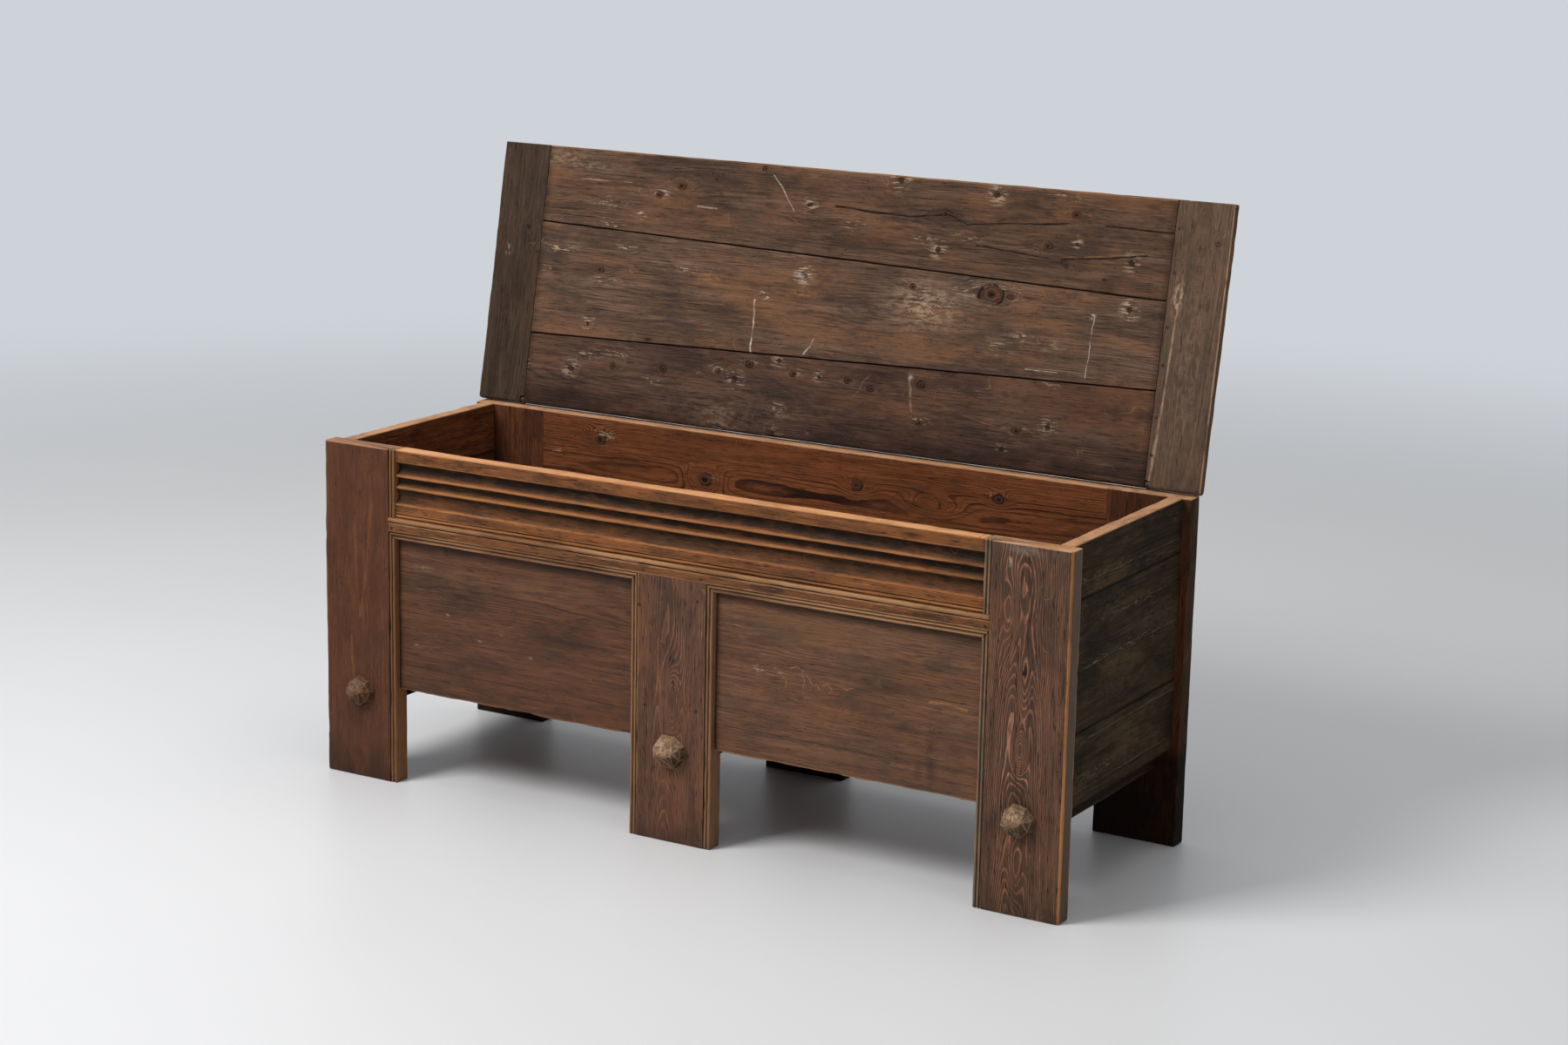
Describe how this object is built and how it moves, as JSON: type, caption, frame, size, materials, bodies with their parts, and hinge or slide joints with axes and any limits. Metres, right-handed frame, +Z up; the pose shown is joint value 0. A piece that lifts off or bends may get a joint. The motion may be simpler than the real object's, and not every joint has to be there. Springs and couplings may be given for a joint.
{
  "type": "storage chest",
  "caption": "Long board chest on plank legs with a moulded frieze, panelled front and a hinged plank lid that stands open.",
  "frame": {"origin": "on the floor, under the middle of the open chest's box", "axes": "+X along the chest to its right end, +Y from front to back, +Z up"},
  "size_m": [1.716, 0.7038, 1.2671],
  "materials": {
    "front_pine": "worn wax over red-brown patina",
    "dark_pine": "dull dark brown patina",
    "inner_pine": "dry warm brown",
    "lid_pine": "grey-brown, dry and rubbed",
    "peg_wood": "hewn, dry end grain",
    "pin_wood": "dark end grain",
    "iron": "forged, dark rust"
  },
  "bodies": {
    "chest": {"back_left_panel": "dark_pine", "back_rail": "dark_pine", "back_right_panel": "dark_pine", "floor_board_1": "inner_pine", "floor_board_2": "inner_pine", "floor_board_3": "inner_pine", "floor_board_4": "inner_pine", "frame_pins": "pin_wood", "frieze_rail": "front_pine", "front_left_leg": "front_pine", "front_left_panel": "front_pine", "front_middle_leg": "front_pine", "front_right_leg": "front_pine", "front_right_panel": "front_pine", "left_bearer": "inner_pine", "left_front_peg": "peg_wood", "left_hinge_eye": "iron", "left_rear_peg": "peg_wood", "left_side_lower_plank": "dark_pine", "left_side_middle_plank": "dark_pine", "left_side_upper_plank": "dark_pine", "middle_bearer": "inner_pine", "middle_front_peg": "peg_wood", "middle_rail": "front_pine", "middle_rear_peg": "peg_wood", "rear_left_leg": "dark_pine", "rear_middle_leg": "dark_pine", "rear_right_leg": "dark_pine", "right_bearer": "inner_pine", "right_front_peg": "peg_wood", "right_hinge_eye": "iron", "right_rear_peg": "peg_wood", "right_side_lower_plank": "dark_pine", "right_side_middle_plank": "dark_pine", "right_side_upper_plank": "dark_pine"},
    "lid": {"left_hinge_pin": "iron", "lid_front_plank": "lid_pine", "lid_left_batten": "lid_pine", "lid_middle_plank": "lid_pine", "lid_pins": "pin_wood", "lid_rear_plank": "lid_pine", "lid_right_batten": "lid_pine", "right_hinge_pin": "iron"}
  },
  "joints": [
    {"name": "lid_hinge", "type": "hinge", "parent": "chest", "child": "lid", "pos_m": [0, 0.23808, 0.7173], "axis": [1, 0, 0], "range_deg": [0, 100.75]}
  ]
}
